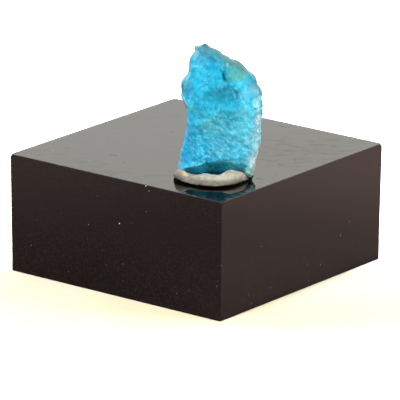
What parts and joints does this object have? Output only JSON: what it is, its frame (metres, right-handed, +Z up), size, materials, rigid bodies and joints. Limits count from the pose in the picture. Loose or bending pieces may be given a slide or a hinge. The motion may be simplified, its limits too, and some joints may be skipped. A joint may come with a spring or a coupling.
{
  "type": "apatite crystal on display block",
  "caption": "Blue-green apatite shard standing upright in a pad of mounting putty on a polished black display block.",
  "frame": {"origin": "centre of the display block's underside", "axes": "+Z up; X and Y along the block's sides, with the crystal in the quarter towards +X and -Y"},
  "size_m": [0.03, 0.03, 0.0291],
  "materials": {
    "black_acrylic": "polished, with fine scratches and a few specks of dust on it",
    "putty": "dull, pressed into folds by hand",
    "apatite": "glassy broken faces, frosted low down, with a rough narrow right-hand side"
  },
  "bodies": {
    "root": {"display_block": "black_acrylic", "mounting_putty": "putty", "apatite_crystal": "apatite"}
  },
  "joints": []
}
